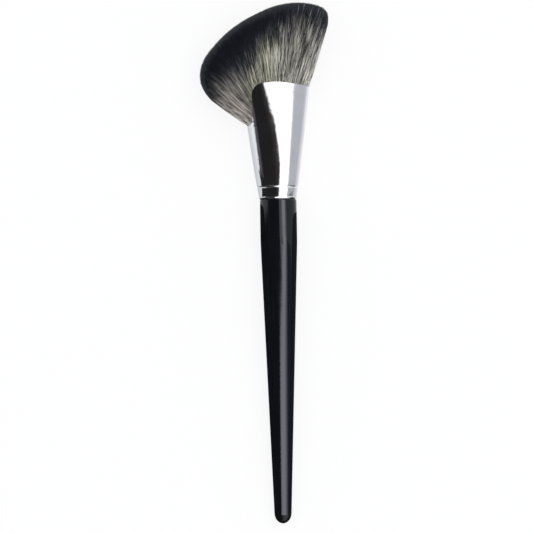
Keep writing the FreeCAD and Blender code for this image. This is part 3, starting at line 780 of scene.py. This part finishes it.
for name, span, reach, first, second, tones in (
    ("handle_flag", HANDLE_SPAN, PANEL_REACH, FLAG_EDGE, HANDLE_LIGHT, plain(HANDLE_DARK)),
    ("handle_wall", HANDLE_SPAN, WALL_REACH, shift(FLAG_EDGE, -HANDLE_WALL_WIDTH), FLAG_EDGE,
     plain(HANDLE_DARK)),
    ("handle_light", (HANDLE_SPAN[0], HANDLE_BREAK), PANEL_REACH, HANDLE_LIGHT, HANDLE_FADE, (
        *tinted(VIOLET, (0, 2.8), (0.14, 4.0), (0.42, 4.4), (0.56, 3.5), (0.69, 2.0), (0.82, 0.9),
                (0.92, 0.3)),
        (1, HANDLE_CARD),
    )),
    ("handle_light_top", (HANDLE_BREAK, HANDLE_SPAN[1]), PANEL_REACH, HANDLE_LIGHT, HANDLE_FADE, (
        *tinted(VIOLET, (0, 1.7), (0.3, 1.4), (0.45, 4.4), (0.66, 4.4), (0.8, 1.0)),
        (0.9, grey(0.2)),
        (1, HANDLE_CARD),
    )),
    ("handle_card", HANDLE_SPAN, PANEL_REACH, HANDLE_FADE, shift(HANDLE_FADE, HANDLE_CARD_WIDTH),
     plain(HANDLE_CARD)),
):
    far_panel(name, span, reach, first, second, tones)

# Cards on the floor, which the lower flanks mirror. An edge is a table of y and x in mm.
HANDLE_FLOOR_SPAN = (-300, 21.5)
LEFT_CARD_SPAN = (21.5, 80)
RIGHT_CARD_SPAN = (18.5, 80)
HANDLE_FLOOR_HEIGHT, CARD_HEIGHT = 0.2, 0.4
CARD_END = 590
METAL_LEFT = ((19, -2), (66, -8.5))
METAL_RIGHT = ((19, 10), (66, 16.2))
SLOPE_EDGE = ((19, -18), (66, -24))
PAPER_EDGE = ((19, 10.5), (37, 20.6), (66, 23))
GREY_EDGE = ((19, 20), (37, 35), (47, 43), (52, 75), (66, 300))
SHADE_EDGE = ((19, 34), (27, 62), (37, 136), (42, 348), (66, 590))

floor_card(
    "floor_handle", HANDLE_FLOOR_SPAN, HANDLE_FLOOR_HEIGHT,
    (straight(-CARD_END), straight(CARD_END)),
    ((0, HANDLE_DARK), (0.5, HANDLE_DARK), (0.51, HANDLE_SIDE), (1, HANDLE_SIDE)),
)
# The left card darkens from far out towards the metal's side: painted shadow of the brush on the
# floor, as the ferrule's left flank mirrors it.
floor_card(
    "floor_left", LEFT_CARD_SPAN, CARD_HEIGHT,
    (straight(-CARD_END), straight(-60), SLOPE_EDGE, METAL_LEFT),
    tinted(COOL, (0, 0.86), (0.33, 0.82), (0.66, 0.74), (1, 0.6)),
)
floor_card(
    "floor_right", RIGHT_CARD_SPAN, CARD_HEIGHT,
    (METAL_RIGHT, PAPER_EDGE, GREY_EDGE, SHADE_EDGE, straight(CARD_END + 5)),
    ((0, PAPER), (0.25, grey(0.93)), (0.5, PALE_CARD), (0.75, CARD), (1, CARD)),
)

# Soft key lamp, in metres and watts

KEY_PLACE = Vector((0.35, 0.15, 1.3))
KEY_TARGET = Vector((0, 0.02, 0))
KEY_SIZE, KEY_POWER = 1.2, 4.0

key_data = bpy.data.lights.new("key", "AREA")
key_data.shape = "RECTANGLE"
key_data.size, key_data.size_y = KEY_SIZE, KEY_SIZE
key_data.energy = KEY_POWER
key = bpy.data.objects.new("key", key_data)
key.location = KEY_PLACE
key.rotation_euler = (KEY_TARGET - KEY_PLACE).to_track_quat("-Z", "Y").to_euler()
key.visible_glossy = False
scene.collection.objects.link(key)

# Light all round; mirrors see the dark side of the room on the left and a window on the right.
# Tones of the room by the angle across, in degrees from the vertical

ROOM_TONES = (
    (-110, 0.8), (-100, 0.04), (-78, 0.012), (-40, 0.045), (-24, 0.07), (-14, 0.2), (-5, 0.42),
    (8, 0.95), (58, 1.0), (62, 0.85), (118, 0.85), (126, 1.0),
)
ROOM_LIGHT = (0.815, 0.823, 0.84)

world = bpy.data.worlds.new("studio")
sky = Nodes(world)
direction = sky.split(sky.add("ShaderNodeTexCoord").outputs["Generated"])
turn = sky.math("ARCTAN2", direction["X"], direction["Z"])
around = sky.add("ShaderNodeMapRange", {"Value": turn, "From Min": -math.pi, "From Max": math.pi})
room = sky.ramp(around.outputs[0], tuple((0.5 + across / 360, tone) for across, tone in ROOM_TONES))
mirrored = sky.add("ShaderNodeLightPath").outputs["Is Glossy Ray"]
sky.set(Color=sky.mix(mirrored, ROOM_LIGHT, room), Strength=1.0)
scene.world = world

scene.view_settings.view_transform = "Standard"

# Camera: from above, a little towards the tail

CAMERA_LENS, CAMERA_SENSOR = 571.93, 36.0
CAMERA_DISTANCE = 3.0
CAMERA_PITCH = math.radians(5.4)
CAMERA_ROLL = 0.0153
CAMERA_RANGE = (0.05, 10.0)
AIM = Vector((-0.383, -1.449, 7.0)) * MM

camera_data = bpy.data.cameras.new("camera")
camera_data.lens = CAMERA_LENS
camera_data.sensor_width = CAMERA_SENSOR
camera_data.clip_start, camera_data.clip_end = CAMERA_RANGE
camera = bpy.data.objects.new("camera", camera_data)
scene.collection.objects.link(camera)
scene.camera = camera
back = Vector((0, -math.sin(CAMERA_PITCH), math.cos(CAMERA_PITCH)))
camera.location = AIM + back * CAMERA_DISTANCE
camera.rotation_euler = (
    Matrix.Rotation(-CAMERA_ROLL, 3, back) @ Matrix.Rotation(CAMERA_PITCH, 3, "X")
).to_euler()
